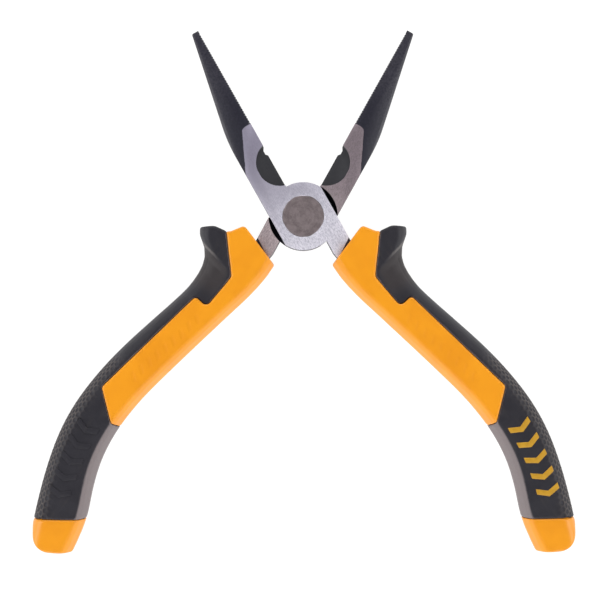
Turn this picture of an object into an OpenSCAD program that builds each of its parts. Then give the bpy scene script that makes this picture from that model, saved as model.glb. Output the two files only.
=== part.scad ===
// Long nose pliers with a side cutter, a riveted lap joint and two-material grips.
// Each half is drawn closed, with the pivot axis on Z, the nose along +Y, the jaw on the
// -X side, the handle on the +X side and the lap plane at z = 0. The two halves are the
// same forging: the rear one is the front one turned half a turn about Y. Both are then
// swung apart about the pivot and lifted, so that the back joint face lies at z = 0.

/* [Joint] */
// Thickness over the two ground cheeks
joint_t = 9.6; // [7:0.1:12]
// Radius of the round lap plate
lap_r = 8.6; // [7.8:0.1:10]
// Half width over the flats of the lap plate
flat_half_w = 7.5; // [6.6:0.1:7.8]
// Radius of the rivet shank
rivet_r = 4.6; // [3:0.1:5]
// How far each rivet head stands out past the shank
rivet_head = 0.7; // [0.3:0.1:1]
// Angle between the jaws as the pliers lie open
open_angle = 58.5; // [5:0.5:60]

/* [Jaws] */
// Length from the pivot to the tip of the jaws
jaw_len = 54.3; // [46:0.1:66]
// Width of one jaw at its tip
tip_w = 1.85; // [1.2:0.05:3]
// Thickness of the jaws at the tip
tip_t = 2.8; // [2:0.1:5]
// Height above the pivot where the nose starts to narrow
shoulder_y = 26; // [24:0.5:30]
// Height above the pivot where the teeth end and the ground face starts
ground_y = 27; // [24:0.5:30]
// Spacing of the teeth
tooth_pitch = 0.7; // [0.6:0.05:1.2]
// Depth of the teeth
tooth_depth = 0.35; // [0.15:0.05:0.4]
// Slope of the forged outer shoulder, in degrees
shoulder_slope = 17; // [10:1:22]

/* [Cutter] */
// Height above the pivot of the middle of the cutter
cutter_y = 14.8; // [13.8:0.1:15.4]
// Radius of the half-moon cutter pocket
cutter_r = 6; // [5.2:0.1:6.2]
// How far the pocket reaches into the jaw
cutter_depth = 4.4; // [3.6:0.1:4.8]
// Thickness of the cutting edge
edge_t = 0.6; // [0.4:0.1:1.2]

/* [Tang] */
// Width of the tang where it leaves the joint
tang_w = 5.3; // [4:0.1:5.6]
// Width of the tang at its lower end
tang_end_w = 4.2; // [3:0.1:5]
// Thickness of the tang inside the grip
tang_t = 6.2; // [4:0.1:7]
// Thickness of the tang at its lower end
tang_end_t = 4.8; // [3:0.1:6]
// How far the tang stops short of the end of the grip
tang_short = 14; // [12:0.5:34]

/* [Grips] */
// Length from the pivot to the end of the grips
grip_end = 106; // [96:0.5:128]
// Thickness of the grips over the dark covers
grip_t = 13; // [12:0.1:16]
// How far the orange panels stand proud of the covers, on each side
panel_proud = 0.2; // [0:0.05:0.4]
// Wall thickness of the soft cover on the flat sides
cover_t = 1.5; // [1:0.1:2]
// Wall thickness of the soft cover along its inner and outer edges
side_wall = 2.4; // [2:0.1:3]
// Width of the dark band outside the orange panel
band_w = 3.4; // [2.8:0.1:4.4]
// Plan width of the sloped inner side
slope_w = 2; // [1:0.1:2.6]
// Plan width of the rounded outer side
round_w = 3.2; // [2:0.1:3.6]

/* [Fits] */
// Gap between the two lap faces
lap_gap = 0.06; // [0.02:0.01:0.2]
// Gap between the lap plate and the shoulders it turns between
shoulder_gap = 0.15; // [0.1:0.05:0.3]
// Radial gap of the rivet in the half that turns on it
rivet_gap = 0.04; // [0.02:0.01:0.08]
// Radial gap of the rivet in the half that holds it
rivet_press = 0.005; // [0:0.005:0.01]
// Distance of each gripping face from the centre plane when closed
face_gap = 0.08; // [0.05:0.01:0.2]
// Gap between tang, core and cover
seam = 0.06; // [0.04:0.01:0.12]

/* [Hidden] */
$fn = 96;
far = 200;
half_t = joint_t / 2;
grip_h = grip_t / 2;
tang_end_y = grip_end - tang_short;

steel = "silver";
rivet_steel = "dimgray";
orange = "orange";
dark = "darkslategray";

// ---- curves ---------------------------------------------------------------------------

// Tables hold [y, value] pairs from the joint end down. smooth() passes a cubic through them.
function span_of(t, y, i = 0) = (i >= len(t) - 2 || y >= t[i + 1][0]) ? i : span_of(t, y, i + 1);
function slope_at(t, i) =
    let (a = max(i - 1, 0), b = min(i + 1, len(t) - 1))
    (t[b][1] - t[a][1]) / (t[b][0] - t[a][0]);
function smooth(t, y) =
    let (i = span_of(t, y),
         h = t[i + 1][0] - t[i][0],
         u = min(max((y - t[i][0]) / h, 0), 1),
         m0 = slope_at(t, i) * h,
         m1 = slope_at(t, i + 1) * h)
    (2 * u ^ 3 - 3 * u ^ 2 + 1) * t[i][1] + (u ^ 3 - 2 * u ^ 2 + u) * m0
    + (3 * u ^ 2 - 2 * u ^ 3) * t[i + 1][1] + (u ^ 3 - u ^ 2) * m1;

// An outline whose corners are [x, y, radius].
function unit(v) = v / norm(v);
function corner(a, b, c, r, n = 6) =
    r <= 0 ? [b] :
    let (u = unit(a - b),
         v = unit(c - b),
         half = acos(u * v) / 2,
         centre = b + unit(u + v) * r / sin(half),
         p = b + u * r / tan(half) - centre,
         q = b + v * r / tan(half) - centre,
         from = atan2(p.y, p.x),
         turn = (atan2(q.y, q.x) - from + 540) % 360 - 180)
    [for (k = [0:n]) centre + r * [cos(from + turn * k / n), sin(from + turn * k / n)]];
function xy(p) = [p.x, p.y];
function radius(p) = len(p) > 2 ? p[2] : 0;
function rounded(pts) =
    let (n = len(pts))
    [for (i = [0:n - 1])
        each corner(xy(pts[(i + n - 1) % n]), xy(pts[i]), xy(pts[(i + 1) % n]), radius(pts[i]))];

// ---- grip outline, seen closed --------------------------------------------------------

// The tables are drawn for a grip that ends at drawn_end. Below the guard, at() stretches them
// to the length that is set.
drawn_end = 106;
guard_low_y = -34;
function at(y) = y > guard_low_y ? y :
    guard_low_y + (y - guard_low_y) * (grip_end + guard_low_y) / (drawn_end + guard_low_y);
function stretched(t) = [for (p = t) [at(p[0]), p[1]]];

// Inner and outer edge of the grip
inner_edge = stretched([[-8, 0.4], [-14, 0.4], [-18, 0.75], [-24, 2.1], [-32, 4.65], [-48, 9.7],
    [-60, 13.2], [-68, 14.7], [-74, 15.1], [-80, 14.7], [-86, 13.4], [-94, 11], [-101, 10.1],
    [-110, 9.8]]);
outer_edge = stretched([[-8, 21.9], [-15.6, 21.9], [-17, 20.6], [-18.5, 18.8], [-20.5, 17.3],
    [-23, 16.5], [-26, 16.4], [-30, 16.95], [-35, 18.5], [-42, 20.95], [-50, 23.65], [-58, 25.85],
    [-66, 27.3], [-73, 27.8], [-80, 27.4], [-88, 26], [-96, 24], [-101, 22.5], [-110, 19.8]]);
// Outer edge of the hard sleeve at the thumb guard, where the cover is solid
guard_end_y = at(-40);
guard_edge = [[-8, 13.4], [-20, 13.4], [-28, 14.2], [-33, 15.8], [guard_end_y, 18.3]];
// Share of the full thickness that the grip has along its length
thickness = stretched([[-8, 0.86], [-16, 0.92], [-24, 0.98], [-31, 1], [-74, 1], [-86, 0.98],
    [-97, 0.93], [-110, 0.84]]);
// Middle of the tang
tang_line = stretched([[-6, flat_half_w - tang_w / 2], [-13, flat_half_w - tang_w / 2], [-22, 7.1],
    [-32, 10.3], [-42, 13.5], [-52, 16.7], [-62, 19.3], [-72, 20.7], [-82, 20.4], [-96, 17.6]]);

mouth_in_y = -14.3;
mouth_out = [11.8, -9.3];
dip = [15.1, -12.75];
window_top_y = -31;
window_low_y = at(-62.4);
window_end_y = at(-69.3);
cap_in_y = at(-94);
cap_out_y = at(-100.3);
cap_side_y = at(-101);
sleeve_top_y = -17;
sleeve_low_y = at(-102);

function inner_x(y) = smooth(inner_edge, y);
function outer_x(y) = smooth(outer_edge, y);
function body_h(y) = grip_h * min(1, smooth(thickness, y));
function band_x(y) = outer_x(y) - band_w;
function sleeve_x(y) = y > guard_end_y ? smooth(guard_edge, y) : outer_x(y) - side_wall;
function edge_points(from, to, step) = [for (y = [from:-step:to]) y];

inner_side = [for (y = edge_points(window_end_y + 3.3, -18, -3)) [inner_x(y), y]];

// The orange window: mouth, seam along the guard, seam along the band and the inner edge
window_outline = rounded(concat(
    [[inner_x(mouth_in_y), mouth_in_y, 0.5],
     [mouth_out.x, mouth_out.y, 1],
     [dip.x - 0.9, dip.y + 0.4, 0.6],
     dip,
     [8.3, -22.2, 1.3],
     [10.1, -32, 1.4],
     [band_x(window_top_y), window_top_y, 0.8],
     [band_x(window_low_y), window_low_y, 1],
     [inner_x(window_end_y) + slope_w, window_end_y, 0.6],
     [inner_x(window_end_y), window_end_y]],
    inner_side));

cap_outline = rounded(
    [[inner_x(cap_in_y) - 0.1, cap_in_y],
     [outer_x(cap_out_y), cap_out_y],
     [outer_x(cap_side_y), cap_side_y],
     [18.4, -grip_end - 1.5, 4.5],
     [9.3, at(-102.9), 0.8],
     [inner_x(cap_side_y), cap_side_y],
     [inner_x(at(-97)), at(-97)]]);

guard_outline = rounded(
    [dip,
     [18.4, -13, 2],
     [22.4, -15.6, 0.8],
     [18, -19.2],
     [4, -19.2],
     [8, -15]]);

module grip_outline() {
    polygon(window_outline);
    polygon(cap_outline);
    polygon(guard_outline);
    polygon(concat(
        [for (y = edge_points(-17.8, cap_side_y, 1.6)) [outer_x(y), y]],
        [for (y = edge_points(cap_side_y + 1, -18, -2)) [inner_x(y), y]]));
}

// ---- grip body, lofted through level slices -------------------------------------------

slice_step = 2.2;
slice_y = edge_points(-8, at(-108), slice_step);
round_steps = 6;

// One slice, in x and z, from the inner side round by the front face
function front_side(left, right, h) =
    let (s = slope_w, r = round_w)
    concat(
        [[left, h * 0.25], [left + s * 0.55, h * 0.75], [left + s, h - 0.2], [left + s + 0.5, h]],
        [for (k = [0:round_steps - 1])
            let (a = 90 - 90 * k / round_steps)
            [right - r + r * cos(a), h * sin(a)]]);
function slice(left, right, h) =
    let (front = front_side(left, right, h))
    concat(front, [[right, 0]], [for (i = [len(front) - 1:-1:0]) [front[i].x, -front[i].y]]);

module loft(slices, ys) {
    n = len(slices[0]);
    last = len(slices) - 1;
    points = [for (i = [0:last]) for (p = slices[i]) [p.x, ys[i], p.y]];
    sides = [for (i = [0:last - 1]) for (k = [0:n - 1])
        [i * n + k, i * n + (k + 1) % n, (i + 1) * n + (k + 1) % n, (i + 1) * n + k]];
    top = [for (k = [n - 1:-1:0]) k];
    bottom = [for (k = [0:n - 1]) last * n + k];
    polyhedron(points, concat([top], sides, [bottom]));
}

module grip_body(proud) {
    loft([for (y = slice_y) slice(inner_x(y), outer_x(y), body_h(y) + proud)], slice_y);
}

module upright(h = far) {
    linear_extrude(h, center = true) children();
}

// The hard sleeve that runs under the soft cover
module sleeve(gap) {
    ys = edge_points(sleeve_top_y - gap, sleeve_low_y + gap, slice_step);
    upright(2 * (grip_h - cover_t - gap))
        polygon(concat(
            [for (y = ys) [sleeve_x(y) - gap, y]],
            [for (i = [len(ys) - 1:-1:0]) [inner_x(ys[i]) + side_wall + gap, ys[i]]]));
}

module window_prism() {
    upright() polygon(window_outline);
}

module cap_prism() {
    upright() polygon(cap_outline);
}

module grip_core() {
    color(orange) difference() {
        union() {
            intersection() {
                grip_body(panel_proud);
                window_prism();
            }
            intersection() {
                grip_body(0);
                cap_prism();
            }
            sleeve(seam);
        }
        tang_solid(seam);
    }
}

module grip_cover() {
    color(dark) difference() {
        intersection() {
            grip_body(0);
            upright() grip_outline();
        }
        upright() offset(delta = seam) {
            polygon(window_outline);
            polygon(cap_outline);
        }
        sleeve(0);
    }
}

// ---- steel ----------------------------------------------------------------------------

// Where the tang slopes from its full thickness to its thickness inside the grip
step_y = -13.6;
step_end_y = -18;
// Side view of a half: [y, half thickness] from the tip down
function side_view(grow) = [[jaw_len, tip_t / 2], [ground_y, half_t], [step_y - grow, half_t + grow],
    [step_end_y - grow, tang_t / 2 + grow], [-tang_end_y - grow, tang_end_t / 2 + grow]];

module side_prism(grow = 0) {
    v = side_view(grow);
    outline = concat(v, [for (i = [len(v) - 1:-1:0]) [v[i][0], -v[i][1]]]);
    rotate([90, 0, 90]) linear_extrude(far, center = true) polygon(outline);
}

function tang_half_w(y) =
    let (share = min(max((-y - 13) / (tang_end_y - 13), 0), 1))
    (tang_w + (tang_end_w - tang_w) * share) / 2;

module tang_plan(grow = 0) {
    low = tang_end_y + grow;
    ys = concat([for (y = [-4:-4:-low + 2]) y], [-low]);
    polygon(concat(
        [for (y = ys) [smooth(tang_line, y) + tang_half_w(y) + grow, y]],
        [for (i = [len(ys) - 1:-1:0]) [smooth(tang_line, ys[i]) - tang_half_w(ys[i]) - grow, ys[i]]]));
}

// The tang as the core is moulded round it
module tang_solid(grow) {
    intersection() {
        upright() tang_plan(grow);
        side_prism(grow);
    }
}

tooth_count = floor((jaw_len - 0.6 - ground_y) / tooth_pitch);
function face_line() = concat(
    [for (i = [0:tooth_count - 1])
        let (y = ground_y + i * tooth_pitch)
        each [[-face_gap, y], [-face_gap - tooth_depth, y + tooth_pitch / 2]]],
    [[-face_gap, ground_y + tooth_count * tooth_pitch]]);

// Notch that parts the cutting edge from the ground face
notch_top = cutter_y + 5.6;
notch_low = cutter_y + 3.2;
notch_depth = 0.5;

module jaw_plan() {
    polygon(concat(
        [[-flat_half_w, 0], [-face_gap, 0],
         [-face_gap, notch_low],
         [-face_gap - notch_depth, notch_low + 0.5],
         [-face_gap - notch_depth, notch_top - 0.8],
         [-face_gap, notch_top]],
        face_line(),
        rounded([[-face_gap, jaw_len], [-face_gap - tip_w, jaw_len, 0.3], [-flat_half_w, shoulder_y, 40],
                 [-flat_half_w, 0]])));
}

// Half-round back of the nose
back_tip_r = face_gap + tip_w + 0.15;
back_slope = (flat_half_w - face_gap - tip_w) / (jaw_len - shoulder_y);
module nose_cone() {
    rotate([-90, 0, 0]) cylinder(h = jaw_len, r1 = back_tip_r + back_slope * jaw_len, r2 = back_tip_r);
}

// Forged shoulder that falls away from the ground cheek, as a wedge to cut with
ground_corner = [-2.9, ground_y - 0.7];
ground_low = [-flat_half_w, 16.2];
module shoulder_cut() {
    run = ground_corner - ground_low;
    depth = 14;
    translate([ground_low.x, ground_low.y, half_t])
        rotate([0, 0, atan2(run.y, run.x) - 90])
            rotate([90, 0, 0])
                linear_extrude(far, center = true)
                    polygon([[0, 0], [-depth, -depth * tan(shoulder_slope)], [-depth, 3], [0, 3]]);
}

// Half-moon pocket: an upright round wall with a floor that slopes down to the cutting edge
module cutter_pocket() {
    reach = cutter_r - cutter_depth;
    rise = half_t - edge_t / 2;
    intersection() {
        translate([reach - face_gap, cutter_y, 0]) cylinder(h = half_t + 1, r = cutter_r);
        translate([-face_gap, cutter_y, edge_t / 2])
            rotate([90, 0, 0])
                linear_extrude(far, center = true)
                    polygon([[3, 0], [0, 0], [-cutter_depth, rise], [-cutter_depth, rise + 2], [3, rise + 2]]);
    }
}

module both_sides() {
    children();
    mirror([0, 0, 1]) children();
}

module rivet_profile(gap) {
    head = rivet_r + rivet_head + gap;
    land = 0.4;
    h = half_t + (gap > rivet_press ? 1 : 0);
    rotate_extrude() polygon([[0, -h], [head, -h], [head, -half_t + land - gap],
        [rivet_r + gap, -half_t + land + rivet_head], [rivet_r + gap, half_t - land - rivet_head],
        [head, half_t - land + gap], [head, h], [0, h]]);
}

module lever(gap) {
    color(steel) difference() {
        union() {
            difference() {
                intersection() {
                    upright() jaw_plan();
                    side_prism();
                    nose_cone();
                }
                both_sides() shoulder_cut();
                both_sides() cutter_pocket();
            }
            intersection() {
                cylinder(h = joint_t, r = lap_r, center = true);
                cube([2 * flat_half_w, far, far], center = true);
            }
            tang_solid(0);
        }
        translate([0, 0, lap_gap / 2 - joint_t]) cylinder(h = joint_t, r = lap_r + shoulder_gap);
        rivet_profile(gap);
    }
}

module pivot_rivet() {
    color(rivet_steel) translate([0, 0, half_t]) rivet_profile(0);
}

// ---- placing --------------------------------------------------------------------------

module as_front() {
    translate([0, 0, half_t]) rotate([0, 0, open_angle / 2]) children();
}

module as_rear() {
    translate([0, 0, half_t]) rotate([0, 0, -open_angle / 2]) rotate([0, 180, 0]) children();
}

as_front() lever(rivet_press);  // front_lever
as_rear() lever(rivet_gap);  // rear_lever
pivot_rivet();
as_front() grip_core();  // right_grip_core
as_front() grip_cover();  // right_grip_cover
as_rear() grip_core();  // left_grip_core
as_rear() grip_cover();  // left_grip_cover
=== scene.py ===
import bpy
from math import atan2, cos, hypot, pi, radians, sin
from mathutils import Matrix, Vector


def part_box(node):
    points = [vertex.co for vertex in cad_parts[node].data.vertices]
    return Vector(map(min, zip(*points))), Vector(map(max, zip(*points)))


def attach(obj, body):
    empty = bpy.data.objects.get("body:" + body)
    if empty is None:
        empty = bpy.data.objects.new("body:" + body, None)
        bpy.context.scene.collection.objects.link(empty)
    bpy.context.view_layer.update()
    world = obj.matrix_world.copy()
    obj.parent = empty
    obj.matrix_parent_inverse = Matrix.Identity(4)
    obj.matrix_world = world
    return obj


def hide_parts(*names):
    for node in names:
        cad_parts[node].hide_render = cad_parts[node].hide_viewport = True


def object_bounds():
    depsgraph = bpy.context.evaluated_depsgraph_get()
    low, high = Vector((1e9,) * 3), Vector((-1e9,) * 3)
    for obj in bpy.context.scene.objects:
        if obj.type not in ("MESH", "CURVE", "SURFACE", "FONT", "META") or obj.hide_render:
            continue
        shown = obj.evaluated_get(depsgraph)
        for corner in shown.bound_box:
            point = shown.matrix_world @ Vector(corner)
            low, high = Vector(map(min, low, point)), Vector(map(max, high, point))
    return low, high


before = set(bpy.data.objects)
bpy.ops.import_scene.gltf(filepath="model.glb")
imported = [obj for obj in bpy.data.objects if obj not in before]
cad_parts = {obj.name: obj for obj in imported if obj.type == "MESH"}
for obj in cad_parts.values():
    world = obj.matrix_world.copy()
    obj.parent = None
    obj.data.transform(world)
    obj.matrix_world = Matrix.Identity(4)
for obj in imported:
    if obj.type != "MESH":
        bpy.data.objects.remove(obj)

cad_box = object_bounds()

# ---- Steel halves ---------------------------------------------------------------------
# Two drop-forged halves of carbon steel, blackened all over and then ground bright on the
# cheeks. Each is a jaw, a half-thickness lap plate and a tang, with every edge broken.

MM = 0.001
OPENED = radians(58.5 / 2)
MIDDLE = 4.8 * MM
HAND = {"front": 1, "rear": -1}
MERGE = 0.002
STEEL_EDGE = 0.14
# The teeth lie nearer the gripping face than TOOTH_X and above TOOTH_Y
TOOTH_X = -0.6
TOOTH_Y = 27.2
# The ground cheek ends at CHEEK_TOP, on a slanted line through CHEEK_LOW, and at the tang
CHEEK_TOP = 26.9
CHEEK_LOW = (-7.5, 16.2)
CHEEK_SLANT = (-0.91, 0.414)
SCALE_DARK = (0.0085, 0.0078, 0.0165)
SCALE_PALE = (0.0165, 0.0155, 0.0275)
SCALE_RUBBED = (0.042, 0.039, 0.052)
SCALE_POCKET_SHADE = (0.004, 0.004, 0.007)


class Wire:
    """A node's output. Sums of wires and numbers add Math nodes to the same tree."""

    def __init__(self, tree, socket):
        self.tree, self.socket = tree, socket

    def node(self, kind, inputs, output=0, **settings):
        made = self.tree.nodes.new(kind)
        for key, value in settings.items():
            setattr(made, key, value)
        for key, value in inputs.items():
            if isinstance(value, Wire):
                self.tree.links.new(value.socket, made.inputs[key])
            else:
                made.inputs[key].default_value = value
        return Wire(self.tree, made.outputs[output])

    def math(self, operation, *others):
        return self.node("ShaderNodeMath", dict(enumerate((self, *others))), operation=operation)

    def __add__(self, other):
        return self.math("ADD", other)

    __radd__ = __add__

    def __mul__(self, other):
        return self.math("MULTIPLY", other)

    __rmul__ = __mul__

    def __sub__(self, other):
        return self.math("SUBTRACT", other)

    def __rsub__(self, other):
        return (self * -1).math("ADD", other)

    def __truediv__(self, other):
        return self.math("DIVIDE", other)

    def __neg__(self):
        return self * -1

    def __abs__(self):
        return self.math("ABSOLUTE")

    def split(self):
        parts = self.node("ShaderNodeSeparateXYZ", {"Vector": self})
        return [Wire(self.tree, out) for out in parts.socket.node.outputs]

    def fade(self, low, high):
        """0 at low, 1 at high and a soft step between them. High may be the smaller one."""
        return self.node("ShaderNodeMapRange", {"Value": self, "From Min": low, "From Max": high},
                         interpolation_type="SMOOTHSTEP")

    def noise(self, scale, detail=3.0, rough=0.55, stretch=(1, 1, 1)):
        place = self.node("ShaderNodeVectorMath", {0: self, 1: stretch}, operation="MULTIPLY")
        return self.node("ShaderNodeTexNoise", {"Vector": place, "Scale": scale, "Detail": detail,
                         "Roughness": rough})

    def mix(self, off, on):
        """Colour off where this wire is 0 and colour on where it is 1."""
        inputs = {0: self}
        for place, colour in ((6, off), (7, on)):
            inputs[place] = colour if isinstance(colour, Wire) else (*colour, 1)
        return self.node("ShaderNodeMix", inputs, output=2, data_type="RGBA")

    def bump(self, distance, strength=1.0, under=None):
        inputs = {"Height": self, "Distance": distance, "Strength": strength}
        if under:
            inputs["Normal"] = under
        return self.node("ShaderNodeBump", inputs)


def new_material(name, hand=1):
    """A material, its shader, and a wire of the closed half's own place in millimetres."""
    material = bpy.data.materials.new(name)
    material.use_nodes = True
    tree = material.node_tree
    shader = tree.nodes["Principled BSDF"]
    coords = Wire(tree, tree.nodes.new("ShaderNodeTexCoord").outputs["Object"])
    place = coords.node("ShaderNodeMapping", {"Vector": coords, "Location": (0, 0, -MIDDLE / MM),
                        "Rotation": (0, 0, -OPENED), "Scale": (hand / MM, 1 / MM, 1 / MM)})
    return material, shader, place


def feed(shader, **wires):
    """Links or sets the shader's sockets, named with _ for a space."""
    for key, value in wires.items():
        socket = shader.inputs[key.replace("_", " ")]
        if isinstance(value, Wire):
            value.tree.links.new(value.socket, socket)
        else:
            socket.default_value = value


def bench_copy(node, name):
    """A copy of a CAD node as one closed mesh, selected alone."""
    piece = bpy.data.objects.new(name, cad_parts[node].data.copy())
    bpy.context.scene.collection.objects.link(piece)
    bpy.ops.object.select_all(action="DESELECT")
    piece.select_set(True)
    bpy.context.view_layer.objects.active = piece
    piece.data.materials.clear()
    bpy.ops.object.mode_set(mode="EDIT")
    bpy.ops.mesh.select_all(action="SELECT")
    bpy.ops.mesh.remove_doubles(threshold=MERGE * MM)
    bpy.ops.object.mode_set(mode="OBJECT")
    return piece


def closed_place(point, hand):
    """A point of the opened half, in its own closed place, in millimetres."""
    turned = Matrix.Rotation(-hand * OPENED, 3, "Z") @ Vector(point)
    return turned.x * hand / MM, turned.y / MM, (turned.z - MIDDLE) / MM


def modify(piece, kind, **settings):
    bpy.ops.object.modifier_add(type=kind)
    modifier = piece.modifiers[-1]
    for key, value in settings.items():
        setattr(modifier, key, value)
    bpy.ops.object.modifier_apply(modifier=modifier.name)


def forged_steel(name, hand, nose_colour, tang_colour, grain_colour):
    material, shader, p = new_material(name, hand)
    x, y, z = p.split()
    wander = p.noise(1.2, 2) - 0.5
    across = y - CHEEK_TOP
    slanted = (x - CHEEK_LOW[0]) * CHEEK_SLANT[0] + (y - CHEEK_LOW[1]) * CHEEK_SLANT[1]
    edge = across.math("SMOOTH_MAX", slanted, 1.4) + wander * 0.25
    heel = -y - 11.3 + (x - 6) * 0.667
    level = abs(z) + (-y).fade(12.5, 15)
    ground = level.fade(4.68, 4.74) * (-edge).fade(-0.1, 0.12) * (-heel).fade(-0.1, 0.1)
    speck = p.noise(2.3, 5, 0.8)
    grain = p.noise(1.5, 4, 0.7, (2.6, 0.8, 1.0))
    patch = p.noise(0.3, 3)
    # the ground cheek is painted lighter from nose to tang: a painted reflection
    painted_reflection = y.fade(20, -9)
    bright = painted_reflection.mix(nose_colour, tang_colour)
    bright = ((speck * 0.45 + grain * 0.55).fade(0.6, 0.38) * 0.62).mix(bright, grain_colour)
    scale_colour = p.noise(1.6, 4, 0.7).fade(0.4, 0.8).mix(SCALE_DARK, SCALE_PALE)
    # the black skin is rubbed thin on the rounded backs of the nose
    back = abs(z).fade(4.4, 2.8) * (y - 9).fade(0, 2)
    scale_colour = (back * p.noise(2.0, 3).fade(0.3, 0.7) * 0.6).mix(scale_colour, SCALE_RUBBED)
    # the cutter pocket's black skin is painted darker still, as painted shade in the recess
    pocket = (x + 5).fade(0, 0.3) * (y - 8.6).fade(0, 0.3) * (20.9 - y).fade(0, 0.3) * (1 - ground)
    scale_colour = (pocket * 0.8).mix(scale_colour, SCALE_POCKET_SHADE)
    grit = p.noise(4.0, 4, 0.7)
    lift = (speck * 0.6 + grain * 0.4) * ground + grit * (1 - ground) * 0.8
    feed(shader, Base_Color=ground.mix(scale_colour, bright), Metallic=ground * 0.55,
         Specular_IOR_Level=0.36, Roughness=patch * 0.12 - ground * 0.06 + 0.44,
         Normal=lift.bump(0.02 * MM, 0.6))
    return material


def steel_half(node, side, *colours):
    hand = HAND[side]
    piece = bench_copy(node, node + "_forging")
    bpy.ops.object.mode_set(mode="EDIT")
    bpy.ops.mesh.select_all(action="SELECT")
    bpy.ops.mesh.dissolve_limited(angle_limit=radians(0.6))
    bpy.ops.mesh.select_mode(type="EDGE")
    bpy.ops.mesh.select_all(action="DESELECT")
    bpy.ops.mesh.edges_select_sharp(sharpness=radians(32))
    bpy.ops.object.mode_set(mode="OBJECT")
    # the teeth stay crisp, every other edge is broken
    for edge in piece.data.edges:
        ends = [closed_place(piece.data.vertices[v].co, hand) for v in edge.vertices]
        if all(x > TOOTH_X and y > TOOTH_Y for x, y, _ in ends):
            edge.select = False
    bpy.ops.object.mode_set(mode="EDIT")
    bpy.ops.mesh.bevel(offset=STEEL_EDGE * MM, segments=2, clamp_overlap=True)
    bpy.ops.mesh.select_mode(type="VERT")
    bpy.ops.object.mode_set(mode="OBJECT")
    bpy.ops.object.shade_smooth_by_angle(angle=radians(30))
    piece.data.materials.append(forged_steel(side + " forging", hand, *colours))
    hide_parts(node)
    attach(piece, side + "_half")


# nose and tang colours of each half's ground cheek; the lightening towards the tang, and the front half's
# lighter cheek, are painted reflection
steel_half("front_lever", "front", (0.31, 0.283, 0.36), (0.95, 0.92, 1.0), (0.36, 0.34, 0.43))
steel_half("rear_lever", "rear", (0.29, 0.235, 0.26), (0.56, 0.46, 0.47), (0.17, 0.138, 0.148))

# ---- Rivet ----------------------------------------------------------------------------
# A turned steel pin, riveted over at both ends into countersinks and ground flush, so its
# browner end grain and faint turning rings show in the bright cheek.

rivet_low, rivet_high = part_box("pivot_rivet")
rivet_face_r = (rivet_high.x - rivet_low.x) / 2
rivet_length = rivet_high.z - rivet_low.z
shank_r = 4.6 * MM
# The height of a head, then how far each ring of it rises and its share of the ring before
HEAD = 1.1
HEAD_RINGS = ((0.7, rivet_face_r / shank_r), (0.34, 1.0), (0.05, 0.985), (0.02, 0.955))
FACE_INSETS = (0.5, 1.2, 1.6)

bpy.ops.object.select_all(action="DESELECT")
bpy.ops.mesh.primitive_cylinder_add(vertices=96, radius=shank_r, depth=rivet_length - 2 * HEAD * MM,
                                    end_fill_type="NGON", location=(0, 0, rivet_length / 2))
rivet = bpy.context.object
rivet.name = "pivot_rivet_pin"
bpy.ops.object.transform_apply(location=True)
bpy.ops.object.mode_set(mode="EDIT")
bpy.ops.mesh.select_mode(type="FACE")
for direction in (1, -1):
    bpy.ops.mesh.select_all(action="DESELECT")
    bpy.ops.object.mode_set(mode="OBJECT")
    for face in rivet.data.polygons:
        face.select = face.normal.z * direction > 0.9
    bpy.ops.object.mode_set(mode="EDIT")
    centre = (0, 0, rivet_length / 2 + direction * (rivet_length / 2 - HEAD * MM))
    for rise, share in HEAD_RINGS:
        bpy.ops.mesh.extrude_region_move(TRANSFORM_OT_translate={"value": (0, 0, direction * rise * MM)})
        bpy.ops.transform.resize(value=(share, share, 1), center_override=centre)
    for inset in FACE_INSETS:
        bpy.ops.mesh.inset(thickness=inset * MM)
bpy.ops.object.mode_set(mode="OBJECT")
bpy.ops.object.shade_smooth_by_angle(angle=radians(35))

material, shader, p = new_material("ground rivet steel")
x, y, _ = p.split()
radius = (x * x + y * y).math("SQRT")
rings = (radius * 7.5 + p.noise(0.7, 2) * 2.2).math("SINE") * 0.5 + 0.5
speck = p.noise(4.5, 4, 0.75)
stain = p.noise(0.45, 3, 0.6)
brown = stain.fade(0.35, 0.68).mix((0.165, 0.128, 0.132), (0.26, 0.21, 0.214))
brown = (speck.fade(0.35, 0.75) * 0.5 + rings * 0.12).mix(brown, (0.33, 0.28, 0.28))
rim = (radius + (p.noise(0.55, 2) - 0.5) * 0.24).fade(5.1, 5.2)
ring = p.noise(0.25, 2).fade(0.4, 0.6).mix((0.09, 0.08, 0.08), (0.62, 0.6, 0.66))
feed(shader, Base_Color=rim.mix(brown, ring), Metallic=0.55,
     Roughness=speck * 0.16 + 0.38,
     Normal=(rings * 0.5 + speck * 0.5).bump(0.02 * MM, 0.6))
rivet.data.materials.append(material)
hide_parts("pivot_rivet")
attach(rivet, "front_half")

# ---- Orange sleeves -------------------------------------------------------------------
# The hard first shot of each grip, in orange polypropylene: collar, side panels, the sleeve
# under the cover, and the end cap. Moulded with soft edges and a fine satin skin.

GRIP = {"front": "right", "rear": "left"}
VOXEL = 0.26
SOFTEN = 8
# The row of strokes on a side panel: its middle, its direction and its sizes
ROW_MIDDLE = (14.2, -46)
ROW_WAY = (0.327, -0.945)
ROW_HALF_LENGTH = 12.6
ROW_HALF_WIDTH = 1.3
STROKE_PITCH = 2.7
STROKE_LEAN = 0.45
STROKE_SINK = 0.07

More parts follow.
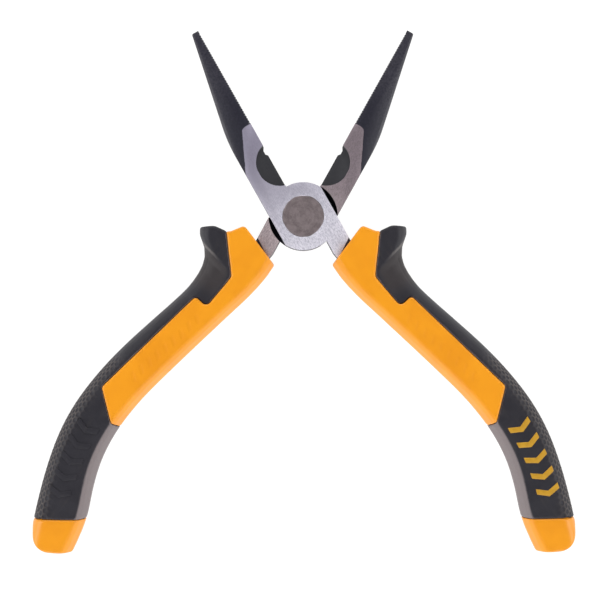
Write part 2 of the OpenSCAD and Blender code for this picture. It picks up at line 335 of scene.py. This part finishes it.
def moulded(piece, hand, ends):
    """Remeshes a copy finely and lets its edges go round, most of all where ends() is 1."""
    modify(piece, "REMESH", mode="VOXEL", voxel_size=VOXEL * MM, adaptivity=0)
    group = piece.vertex_groups.new(name="ends")
    for vertex in piece.data.vertices:
        x, y, _ = closed_place(vertex.co, hand)
        weight = ends(x, y)
        if weight > 0.01:
            group.add([vertex.index], weight, "REPLACE")
    modify(piece, "SMOOTH", factor=0.5, iterations=SOFTEN)
    modify(piece, "SMOOTH", factor=0.5, iterations=SOFTEN * 3, vertex_group="ends")
    piece.vertex_groups.clear()


def clamp(value):
    return min(max(value, 0), 1)


def core_ends(x, y):
    return max(clamp((-98 - y) / 2) * clamp((x - 12) / 4), clamp((y + 17) / 2) * 0.2)


def panel_place(x, y):
    """How far a place is along the middle line of the side panel, and beside it."""
    dx = x - ROW_MIDDLE[0]
    dy = y - ROW_MIDDLE[1]
    return dy * ROW_WAY[1] + dx * ROW_WAY[0], dx * -ROW_WAY[1] + dy * ROW_WAY[0]


def panel_stroke(x, y, z):
    """1 in the strokes sunk in a row along each side panel, 0 between them."""
    along, beside = panel_place(x, y)
    phase = ((along + beside * STROKE_LEAN) / STROKE_PITCH + 0.5) % 1
    row = clamp((ROW_HALF_LENGTH - abs(along)) / 0.4) * clamp((ROW_HALF_WIDTH - abs(beside)) / 0.4)
    return clamp((0.24 - abs(phase - 0.5)) / 0.14) * row * (abs(z) > 5.5)


def orange_plastic(name, hand):
    material, shader, p = new_material(name, hand)
    x, y, z = p.split()
    cloud = p.noise(0.09, 3, 0.6)
    skin = p.noise(5.0, 3, 0.7)
    flow = p.noise(0.35, 2, 0.5, (1, 0.3, 1))
    colour = cloud.fade(0.35, 0.68).mix((0.76, 0.27, 0.002), (0.81, 0.3, 0.003))
    colour = (flow.fade(0.45, 0.75) * 0.35).mix(colour, (0.84, 0.325, 0.006))
    # the sunk strokes are painted a little darker, as painted shade in them
    along, beside = panel_place(x, y)
    phase = ((along + beside * STROKE_LEAN) / STROKE_PITCH + 0.5).math("FRACT")
    stroke = abs(phase - 0.5).fade(0.24, 0.1)
    row = abs(along).fade(ROW_HALF_LENGTH, ROW_HALF_LENGTH - 0.4)
    row = row * abs(beside).fade(ROW_HALF_WIDTH, ROW_HALF_WIDTH - 0.4) * abs(z).fade(5.5, 5.6)
    stroke_shade = stroke * row
    colour = (stroke_shade * 0.12).mix(colour, (0.66, 0.21, 0.002))
    feed(shader, Base_Color=colour, Roughness=skin * 0.1 + 0.36,
         Normal=(skin * 0.6 + cloud * 0.4).bump(0.012 * MM, 0.5))
    return material


for side, hand in HAND.items():
    node = GRIP[side] + "_grip_core"
    sleeve = bench_copy(node, node + "_moulding")
    moulded(sleeve, hand, core_ends)
    for vertex in sleeve.data.vertices:
        x, y, z = closed_place(vertex.co, hand)
        sink = panel_stroke(x, y, z) * STROKE_SINK * MM
        vertex.co.z -= sink if z > 0 else -sink
    modify(sleeve, "DECIMATE", ratio=0.45)
    bpy.ops.object.shade_smooth()
    sleeve.data.materials.append(orange_plastic(side + " orange plastic", hand))
    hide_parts(node)
    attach(sleeve, side + "_half")

# ---- Dark covers ----------------------------------------------------------------------
# The soft second shot, in charcoal thermoplastic rubber: the thumb guard with its scooped
# lower face, the band along the back, and the palm swell with a hexagon texture outside.

CREASE = ((10.0, -20.9), (19.3, -18.2))
SCOOP_DEPTH = 1.9
# The palm swell's back is an arc, given by its centre and radius, and the hexagons run round it
SWELL = (-42.8, -73.0, 70.6)
HEX_PITCH = 1.45
HEX_DEPTH = 0.17
HEX_TURNS = [radians(a) for a in (30, 90, 150)]
# The hexagons reach HEX_REACH round from the back's edge, and lie between these two heights
HEX_REACH = 10.8
HEX_TOP = 52
HEX_LOW = 99.6


def below_crease(x, y):
    (ax, ay), (bx, by) = CREASE
    return -(y - ay - (x - ax) * ((by - ay) / (bx - ax)))


def scoop(x, y):
    """How far the face below the guard's crease sinks, in millimetres."""
    below = below_crease(x, y)
    if below < 0:
        return 0
    return SCOOP_DEPTH * clamp(below / 2.0) ** 0.6 * clamp((13 - below) / 8) * clamp((x - 9) / 6.5)


def hexagon_rib(x, y, z):
    """How far a place is on a rib between the hexagons, and how far it is in their zone."""
    dx = x - SWELL[0]
    dy = y - SWELL[1]
    along = atan2(dy, dx) * SWELL[2]
    round_it = abs(z) + SWELL[2] - hypot(dx, dy)
    turn = 2 * pi / HEX_PITCH
    total = sum(cos(turn * (along * cos(a) + round_it * sin(a))) for a in HEX_TURNS)
    zone = clamp((HEX_REACH - round_it) / 2.4) * clamp((-HEX_TOP - y) / 5) * clamp((HEX_LOW + y) / 1.5)
    return clamp((0.2 - total) / 1.1) * zone, zone


def cover_ends(x, y):
    return clamp((y + 19) / 2) * clamp((x - 14) / 3) * 0.25


def soft_cover(name, hand):
    material, shader, p = new_material(name, hand)
    x, y, z = p.split()
    dx = x - SWELL[0]
    dy = y - SWELL[1]
    along = dy.math("ARCTAN2", dx) * SWELL[2]
    round_it = abs(z) + SWELL[2] - (dx * dx + dy * dy).math("SQRT")
    turn = 2 * pi / HEX_PITCH
    waves = [(along * (cos(a) * turn) + round_it * (sin(a) * turn)).math("COSINE") for a in HEX_TURNS]
    ribs = (waves[0] + waves[1] + waves[2]).fade(0.0, -1.0)
    edge_wander = (p.noise(0.5, 1) - 0.5) * 1.6
    zone = (round_it + edge_wander).fade(HEX_REACH, 6.4)
    zone = zone * (-y).fade(HEX_TOP, HEX_TOP + 5) * (-y).fade(HEX_LOW, 98)
    grain = p.noise(3.2, 4, 0.7)
    cloud = p.noise(0.2, 3, 0.6)
    rubbed = p.noise(0.8, 3, 0.6, (1, 0.25, 1))
    colour = cloud.fade(0.35, 0.7).mix((0.0135, 0.0122, 0.0175), (0.0195, 0.018, 0.024))
    colour = (rubbed.fade(0.5, 0.8) * 0.4).mix(colour, (0.034, 0.029, 0.029))
    # the ribs between the hexagons are painted lighter: a painted highlight on their tops
    colour = (ribs * zone * 0.72).mix(colour, (0.085, 0.07, 0.064))
    # the inner slope is painted paler: a painted sheen
    slope = p.node("ShaderNodeAttribute", {}, output=2, attribute_name="inner_slope_sheen")
    colour = (slope * (grain * 0.5 + 0.65)).mix(colour, (0.2, 0.168, 0.17))
    # the guard's crease has a painted highlight line, and the scooped face below it is painted browner
    # and lighter: painted light on the sloping face
    below = below_crease(x, y)
    guard = (y + 26).fade(-4, 0) * (x - 9).fade(0, 1.5)
    colour = (below.fade(0, 0.8) * guard * 0.5).mix(colour, (0.036, 0.026, 0.024))
    # a painted highlight along the crease
    line = abs(below + (p.noise(0.7, 2) - 0.5) * 0.4).fade(0.5, 0.1) * guard * (x - 12).fade(0, 5)
    colour = (line * 0.7).mix(colour, (0.13, 0.115, 0.11))
    relief = (ribs * zone).bump(0.08 * MM, 0.6)
    feed(shader, Base_Color=colour, Roughness=grain * 0.14 + 0.5, Specular_IOR_Level=0.36,
         Normal=(grain * 0.7 + cloud * 0.3).bump(0.02 * MM, 0.7, relief))
    return material


for side, hand in HAND.items():
    node = GRIP[side] + "_grip_cover"
    cover = bench_copy(node, node + "_moulding")
    moulded(cover, hand, cover_ends)
    outward = [vertex.normal.copy() for vertex in cover.data.vertices]
    for vertex, normal in zip(cover.data.vertices, outward):
        x, y, z = closed_place(vertex.co, hand)
        rib, zone = hexagon_rib(x, y, z)
        sink = scoop(x, y) * clamp(abs(z) / 5) * MM
        vertex.co -= normal * (zone - rib) * HEX_DEPTH * MM
        vertex.co.z -= sink if z > 0 else -sink
    modify(cover, "SMOOTH", factor=0.5, iterations=1)
    modify(cover, "DECIMATE", ratio=0.5)
    bpy.ops.object.shade_smooth()
    # 1 where the surface slopes to the inner side of the grip, which the material paints with a pale
    # sheen
    inner_slope_sheen = cover.data.attributes.new("inner_slope_sheen", "FLOAT", "POINT")
    for vertex, value in zip(cover.data.vertices, inner_slope_sheen.data):
        normal = Matrix.Rotation(-hand * OPENED, 3, "Z") @ vertex.normal
        value.value = clamp((-normal.x * hand - 0.3) / 0.35)
    cover.data.materials.append(soft_cover(side + " soft cover", hand))
    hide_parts(node)
    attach(cover, side + "_half")

# ---- Raised chevrons --------------------------------------------------------------------
# A row of plain chevrons moulded on the palm swell of each cover. The ones on the right grip
# are filled with mustard paint, the ones on the left stay in the cover's own rubber.

# The place of each chevron on the closed half, and how far it leans, in radians
CHEVRON_PLACES = ((21.55, -73.2, 0.02), (21.55, -77.6, -0.02), (21.2, -82.0, -0.1),
                  (20.6, -86.4, -0.17), (19.75, -90.7, -0.22))
ARM = 2.9
STROKE = 1.5
POINT = 1.3
COVER_TOP = 6.5
CHEVRON_RISE = {"front": 0.1, "rear": 0.2}
CHEVRON_THICK = 1.0
CHEVRON_EDGE = 0.1


def mustard_paint(name, hand):
    material, shader, p = new_material(name, hand)
    wear = p.noise(1.1, 4, 0.65)
    grain = p.noise(3.6, 3, 0.7)
    colour = p.noise(0.5, 3).fade(0.35, 0.7).mix((0.46, 0.235, 0.008), (0.53, 0.28, 0.012))
    colour = (wear.fade(0.62, 0.74) * 0.5).mix(colour, (0.2, 0.11, 0.02))
    feed(shader, Base_Color=colour, Roughness=grain * 0.15 + 0.42,
         Normal=(grain * 0.6 + wear * 0.4).bump(0.02 * MM, 0.6))
    return material


for side, hand in HAND.items():
    parts = []
    for cx, cy, lean in CHEVRON_PLACES:
        bpy.ops.object.select_all(action="DESELECT")
        bpy.ops.mesh.primitive_plane_add(size=1, location=(0, 0, 0))
        part = bpy.context.object
        bpy.ops.object.mode_set(mode="EDIT")
        bpy.ops.transform.resize(value=(ARM * MM, STROKE * MM, 1))
        bpy.ops.transform.translate(value=(-ARM / 2 * MM, POINT / 2 * MM, 0))
        bpy.ops.mesh.select_mode(type="EDGE")
        bpy.ops.mesh.select_all(action="DESELECT")
        bpy.ops.object.mode_set(mode="OBJECT")
        for edge in part.data.edges:
            edge.select = all(abs(part.data.vertices[v].co.x) < 0.1 * MM for v in edge.vertices)
        bpy.ops.object.mode_set(mode="EDIT")
        bpy.ops.transform.translate(value=(0, -POINT * MM, 0))
        bpy.ops.mesh.extrude_region_move(TRANSFORM_OT_translate={"value": (ARM * MM, POINT * MM, 0)})
        bpy.ops.mesh.select_mode(type="FACE")
        bpy.ops.mesh.select_all(action="SELECT")
        bpy.ops.mesh.extrude_region_move(TRANSFORM_OT_translate={"value": (0, 0, CHEVRON_THICK * MM)})
        bpy.ops.mesh.select_all(action="SELECT")
        bpy.ops.mesh.normals_make_consistent(inside=False)
        bpy.ops.object.mode_set(mode="OBJECT")
        modify(part, "BEVEL", width=CHEVRON_EDGE * MM, segments=3, limit_method="ANGLE",
               angle_limit=radians(40))
        part.location = (cx * MM * hand, cy * MM, 0)
        part.rotation_euler = (0, 0, lean * hand)
        bpy.ops.object.transform_apply(location=True, rotation=True, scale=True)
        # the cover's flat falls a little towards its lower end
        flat = COVER_TOP - clamp((-74 - cy) / 12) * 0.13 - clamp((-86 - cy) / 11) * 0.3
        for vertex in part.data.vertices:
            vertex.co.z += (flat + CHEVRON_RISE[side] - CHEVRON_THICK) * MM + MIDDLE
            vertex.co = Matrix.Rotation(hand * OPENED, 3, "Z") @ vertex.co
        parts.append(part)
    bpy.ops.object.select_all(action="DESELECT")
    for part in parts:
        part.select_set(True)
    bpy.context.view_layer.objects.active = parts[0]
    bpy.ops.object.join()
    chevrons = bpy.context.object
    chevrons.name = GRIP[side] + "_grip_chevrons"
    bpy.ops.object.shade_smooth_by_angle(angle=radians(40))
    if side == "front":
        chevrons.data.materials.append(mustard_paint("mustard paint", hand))
    else:
        chevrons.data.materials.append(soft_cover("raised rubber", hand))
    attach(chevrons, side + "_half")

# ---- Table and studio -----------------------------------------------------------------
# A pale lit table top, four soft boxes round the object and a room that is pale low down and
# dimmer overhead, seen from straight above as the object lies on its grips.

TABLE_SIZE = 4
TABLE_GLOW = 0.97
bpy.ops.object.select_all(action="DESELECT")
bpy.ops.mesh.primitive_plane_add(size=TABLE_SIZE, location=(0, 0, cad_box[0][2]))
table = bpy.context.object
table.name = "table_top"
material, shader, p = new_material("pale table")
top_colour = p.noise(0.02, 2).fade(0.3, 0.7).mix((0.1, 0.099, 0.098), (0.12, 0.119, 0.118))
feed(shader, Base_Color=top_colour, Roughness=0.8, Specular_IOR_Level=0.2,
     Emission_Color=(1, 0.998, 0.992, 1), Emission_Strength=TABLE_GLOW)
table.data.materials.append(material)

world = bpy.data.worlds.new("room")
bpy.context.scene.world = world
world.use_nodes = True
sky = Wire(world.node_tree, world.node_tree.nodes.new("ShaderNodeTexCoord").outputs["Generated"])
room = sky.split()[2].fade(0.02, 0.42).mix((0.86, 0.87, 0.89), (0.145, 0.15, 0.162))
world.node_tree.links.new(room.socket, world.node_tree.nodes["Background"].inputs["Color"])

# Each soft box: its name, azimuth and elevation in degrees, and watts
SOFT_BOXES = (("left", 180, 28, 5.5), ("right", 0, 28, 5.1), ("far", 90, 26, 5.3), ("near", 270, 26, 5.3))
BOX_DISTANCE = 0.9
BOX_SIZE = 0.7
BOX_AIM = Vector((0, -0.02, 0))
for name, azimuth, elevation, power in SOFT_BOXES:
    level = cos(radians(elevation))
    way = Vector((level * cos(radians(azimuth)), level * sin(radians(azimuth)), sin(radians(elevation))))
    at = way * BOX_DISTANCE
    bpy.ops.object.light_add(type="AREA", location=at)
    lamp = bpy.context.object
    lamp.name = "soft_box_" + name
    lamp.data.shape = "SQUARE"
    lamp.data.size = BOX_SIZE
    lamp.data.energy = power
    lamp.rotation_euler = (BOX_AIM - at).to_track_quat("-Z", "Y").to_euler()

VIEW_WIDTH = 151.5 * MM
VIEW_DISTANCE = 0.5
SENSOR = 36
bpy.ops.object.camera_add(location=(-0.86 * MM, -21.2 * MM, VIEW_DISTANCE + 10 * MM),
                          rotation=(0, 0, radians(-0.15)))
camera = bpy.context.object
camera.data.sensor_width = SENSOR
camera.data.lens = SENSOR * VIEW_DISTANCE / VIEW_WIDTH
camera.data.clip_start = 0.01
bpy.context.scene.camera = camera
bpy.context.scene.view_settings.view_transform = "Standard"
